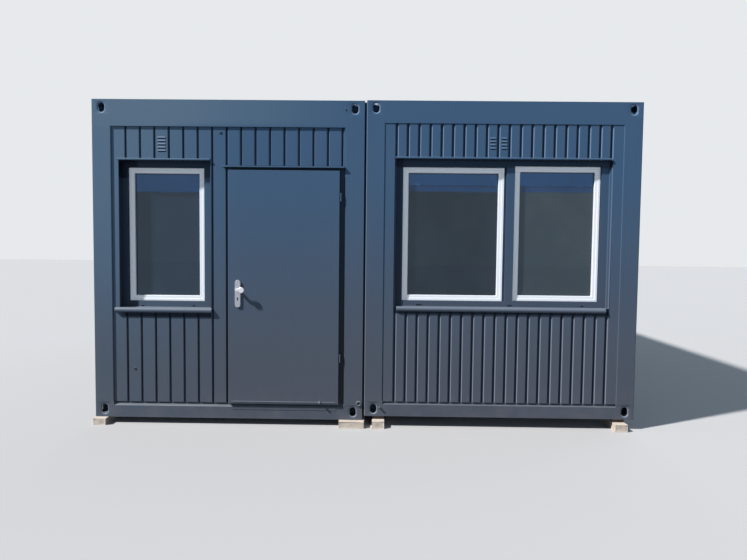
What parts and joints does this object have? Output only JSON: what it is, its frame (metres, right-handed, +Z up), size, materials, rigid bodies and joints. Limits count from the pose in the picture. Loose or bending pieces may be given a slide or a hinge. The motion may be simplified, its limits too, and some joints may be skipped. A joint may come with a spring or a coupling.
{
  "type": "container cabin",
  "caption": "Dark blue-grey steel container cabin of two joined modules, with a hinged door, white framed windows and ribbed walls, on concrete blocks.",
  "frame": {"origin": "middle of the whole outline, on the ground under the concrete blocks", "axes": "+Z up, -Y is the front with the door and windows, +X to the right seen from the front"},
  "size_m": [4.888, 6.16, 2.929],
  "materials": {
    "painted_steel": "semi-gloss paint",
    "dark_steel": "semi-gloss paint",
    "concrete": "rough",
    "white_plastic": "satin",
    "glazing": "polished",
    "bright_metal": "satin",
    "lining_board": "matt laminate",
    "ceiling_board": "matt laminate",
    "floor_covering": "matt vinyl",
    "roof_sheet": "galvanised",
    "timber": "rough, weathered"
  },
  "bodies": {
    "cabin": {"foundation_blocks": "concrete", "timber_packing": "timber", "corner_castings": "painted_steel", "corner_posts": "painted_steel", "floor_rails": "painted_steel", "roof_beams": "painted_steel", "floor_decks": "floor_covering", "ceilings": "ceiling_board", "roof_sheets": "roof_sheet", "joint_covers": "dark_steel", "left_window_wall": "painted_steel", "over_door_wall": "painted_steel", "right_window_wall": "painted_steel", "left_side_wall": "painted_steel", "right_side_wall": "painted_steel", "rear_walls": "painted_steel", "front_linings": "lining_board", "side_linings": "lining_board", "rear_linings": "lining_board", "left_window_surround": "painted_steel", "right_window_surround": "painted_steel", "left_window_frame": "white_plastic", "wide_window_frame": "white_plastic", "narrow_window_frame": "white_plastic", "window_glass": "glazing", "window_sills": "painted_steel", "window_rain_strips": "painted_steel", "vents": "painted_steel", "door_jambs": "painted_steel", "door_head": "painted_steel", "door_threshold": "bright_metal", "door_rain_strip": "painted_steel", "fixed_hinges": "dark_steel"},
    "door": {"door_leaf": "painted_steel", "leaf_hinges": "dark_steel", "handle_plate": "bright_metal", "door_knob": "bright_metal", "lock_cylinder": "bright_metal", "inner_handle": "bright_metal"}
  },
  "joints": [
    {"name": "door_swing", "type": "hinge", "parent": "cabin", "child": "door", "pos_m": [-0.214, -2.9895, 1.2], "axis": [0, 0, 1], "range_deg": [0, 110]}
  ]
}
